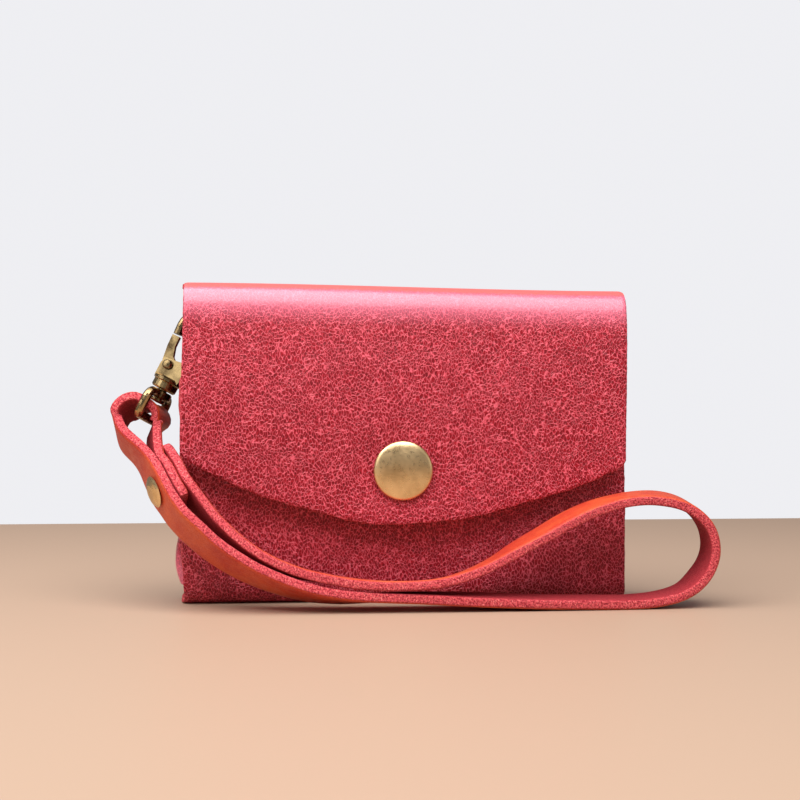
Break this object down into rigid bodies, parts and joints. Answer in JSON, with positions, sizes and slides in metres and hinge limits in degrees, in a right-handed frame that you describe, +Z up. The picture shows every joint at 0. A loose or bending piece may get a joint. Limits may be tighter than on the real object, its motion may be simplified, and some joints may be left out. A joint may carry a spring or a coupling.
{
  "type": "wristlet wallet",
  "caption": "Folded leather wallet without stitches: snap-closed flap with a curved edge, folded side gussets, a D-ring, a swivel clasp and a riveted leather wrist strap.",
  "frame": {"origin": "middle of the wallet's flat bottom, which stands on the surface", "axes": "+X to the right as one looks at the flap, -Y out of the flap, +Z up"},
  "size_m": [0.153, 0.0398, 0.082],
  "materials": {
    "wallet_leather": "pebbled red leather with a soft sheen and raw salmon edges",
    "strap_leather": "smooth orange-red grain leather with raw fuzzy edges",
    "antique_brass": "antique brass, softly brushed, darker in the recesses",
    "spring_steel": "plain spring wire"
  },
  "bodies": {
    "wallet": {"back_panel": "wallet_leather", "bottom_fold": "wallet_leather", "front_panel": "wallet_leather", "left_gusset": "wallet_leather", "right_gusset": "wallet_leather", "snap_stud": "antique_brass", "snap_post": "antique_brass", "d_ring_tab": "strap_leather", "tab_rivet_cap": "antique_brass", "tab_rivet_post": "antique_brass"},
    "fold": {"top_strip": "wallet_leather"},
    "cover": {"flap": "wallet_leather", "snap_cap": "antique_brass", "snap_socket": "antique_brass"},
    "ring": {"d_ring": "antique_brass"},
    "clasp": {"clasp_body": "antique_brass", "gate_pin": "antique_brass", "gate_spring": "spring_steel", "swivel_pin": "antique_brass"},
    "gate": {"clasp_gate": "antique_brass"},
    "eye": {"swivel_eye": "antique_brass"},
    "strap": {"wrist_strap": "strap_leather", "strap_rivet_cap": "antique_brass", "strap_rivet_base": "antique_brass"}
  },
  "joints": [
    {"name": "back_fold", "type": "hinge", "parent": "wallet", "child": "fold", "pos_m": [0, 0.00765, 0.08065], "axis": [-1, 0, 0], "range_deg": [0, 90]},
    {"name": "front_fold", "type": "hinge", "parent": "fold", "child": "cover", "pos_m": [0, -0.01055, 0.08065], "axis": [-1, 0, 0], "range_deg": [0, 90]},
    {"name": "ring_swing", "type": "hinge", "parent": "wallet", "child": "ring", "pos_m": [-0.0525, 0.0046, 0.0749], "axis": [0, 0, -1], "range_deg": [0, 20]},
    {"name": "clasp_swing", "type": "hinge", "parent": "ring", "child": "clasp", "pos_m": [-0.0536, -0.0002, 0.0707], "axis": [0, 0, -1], "range_deg": [0, 8]},
    {"name": "gate_swing", "type": "hinge", "parent": "clasp", "child": "gate", "pos_m": [-0.06055, -0.00041, 0.06047], "axis": [0.25, 0.9495, -0.1896], "range_deg": [0, 20], "stiffness_Nm_per_rad": 0.01, "springref_deg": -17.19},
    {"name": "eye_swivel", "type": "hinge", "parent": "clasp", "child": "eye", "pos_m": [-0.06312, -0.0012, 0.05314], "axis": [-0.476, -0.05, -0.878], "range_deg": [0, 15]},
    {"name": "strap_swing", "type": "hinge", "parent": "eye", "child": "strap", "pos_m": [-0.06636, -0.00154, 0.04717], "axis": [0.25, 0.9495, -0.1896], "range_deg": [0, 8]}
  ],
  "couplings": [
    {"joint": "front_fold", "follows": "back_fold", "ratio": 1}
  ]
}
